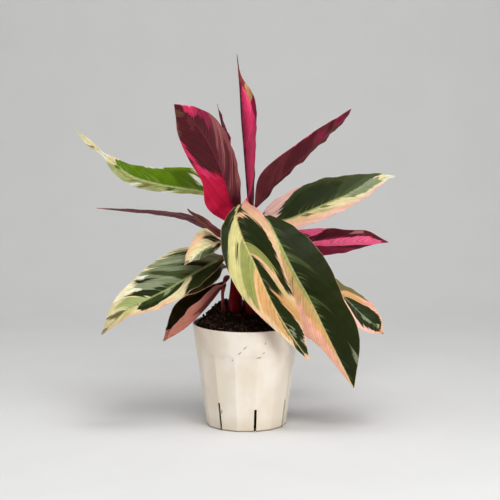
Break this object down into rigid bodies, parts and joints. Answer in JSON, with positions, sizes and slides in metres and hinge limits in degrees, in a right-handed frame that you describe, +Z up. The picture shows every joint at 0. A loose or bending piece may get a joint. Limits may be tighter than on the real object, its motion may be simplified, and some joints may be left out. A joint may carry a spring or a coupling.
{
  "type": "potted stromanthe triostar",
  "caption": "Variegated prayer plant with cream, green and pink leaves and crimson undersides, standing in a faceted cream nursery pot.",
  "frame": {"origin": "centre of the pot's underside, on the surface that it stands on", "axes": "+Z up, from the pot to the top of the rolled leaf; -Y towards the front of the plant; +X to the plant's right in a front view"},
  "size_m": [0.3646, 0.1634, 0.4141],
  "materials": {
    "pot_plastic": "satin moulded plastic",
    "potting_soil": "loose and matte",
    "stem_maroon": "satin",
    "leaf_green": "satin, waxy",
    "leaf_crimson": "satin",
    "leaf_maroon": "satin"
  },
  "bodies": {
    "root": {"pot": "pot_plastic", "soil": "potting_soil", "shoot_right": "stem_maroon", "shoot_centre": "stem_maroon", "shoot_left": "stem_maroon", "leaf_front_left": "leaf_green", "leaf_front_right": "leaf_green", "leaf_left_large": "leaf_green", "leaf_left_small": "leaf_green", "leaf_left_under": "leaf_green", "leaf_left_low": "leaf_green", "leaf_right_low": "leaf_green", "leaf_right_top": "leaf_green", "leaf_left_green": "leaf_green", "leaf_right_pink": "leaf_crimson", "leaf_tall_red": "leaf_crimson", "leaf_left_spike": "leaf_crimson", "leaf_spear": "leaf_crimson", "leaf_right_high": "leaf_maroon", "leaf_tall_behind": "leaf_maroon", "leaf_left_edge": "leaf_maroon"}
  },
  "joints": []
}
